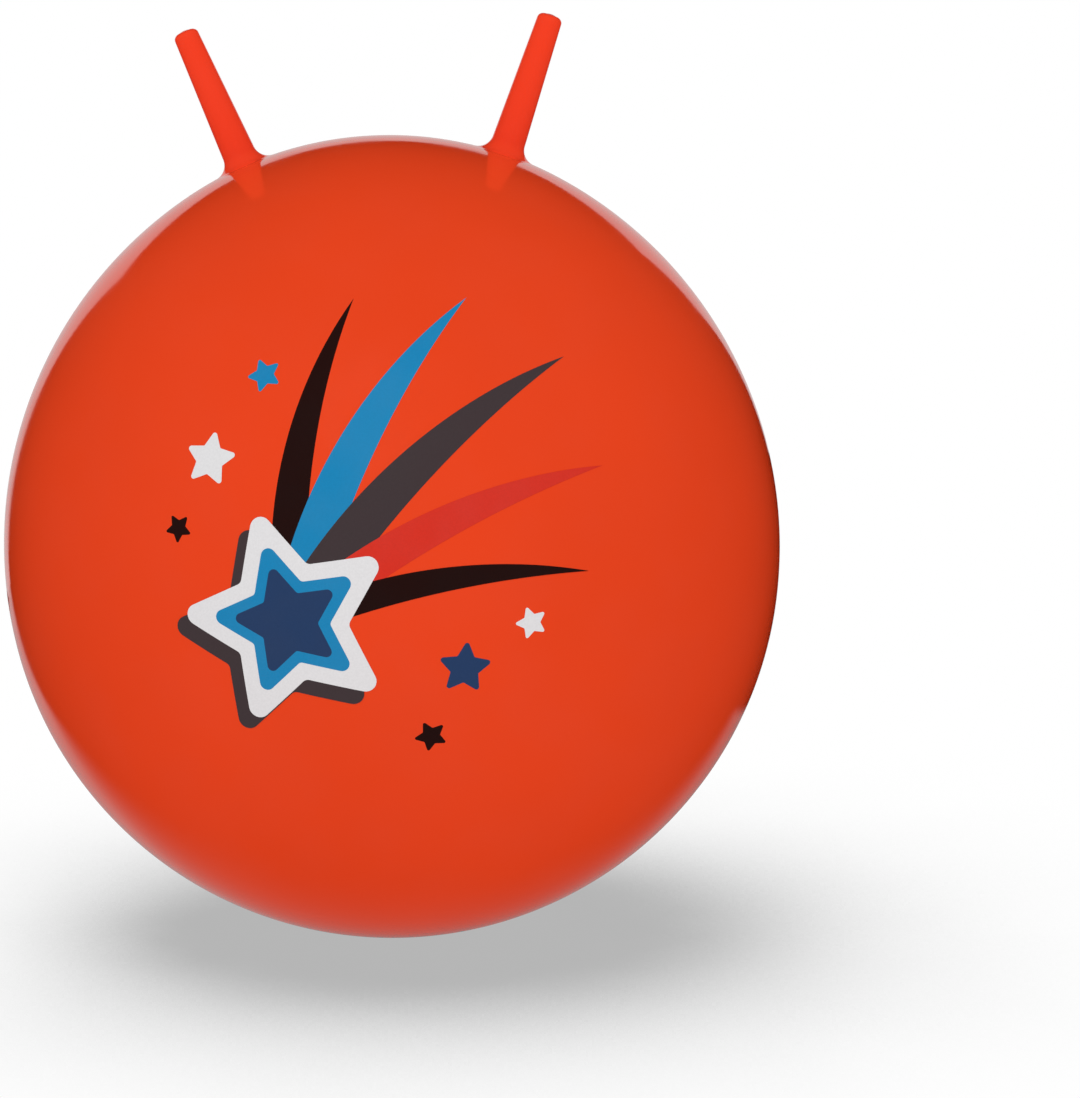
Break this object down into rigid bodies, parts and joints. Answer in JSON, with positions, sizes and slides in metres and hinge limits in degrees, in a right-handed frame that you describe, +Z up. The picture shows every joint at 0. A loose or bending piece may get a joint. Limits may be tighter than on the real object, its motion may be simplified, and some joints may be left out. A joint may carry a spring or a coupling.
{
  "type": "hopper ball",
  "caption": "Inflatable hopper ball: a hollow, slightly egg-shaped ball of glossy soft plastic with tapered horns to hold on its crown and a push-in plug valve at its back.",
  "frame": {"origin": "centre of the flattened patch that the ball rests on", "axes": "+Z up through the crown, +X to the right with the horns in the XZ plane, front of the ball facing -Y, valve axis +Y"},
  "size_m": [0.45, 0.4497, 0.5296],
  "materials": {
    "ball_pvc": "glossy soft PVC, orange-red",
    "horn_pvc": "glossy soft PVC, bright red-orange",
    "valve_pvc": "satin soft PVC, orange-red",
    "plug_plastic": "satin white polyethylene"
  },
  "bodies": {
    "ball": {"ball_skin": "ball_pvc", "left_horn": "horn_pvc", "right_horn": "horn_pvc", "valve_seat": "valve_pvc"},
    "plug": {"valve_plug": "plug_plastic"}
  },
  "joints": [
    {"name": "plug_pull", "type": "slide", "parent": "ball", "child": "plug", "axis": [0, 1, 0], "range_m": [0, 0.026]}
  ]
}
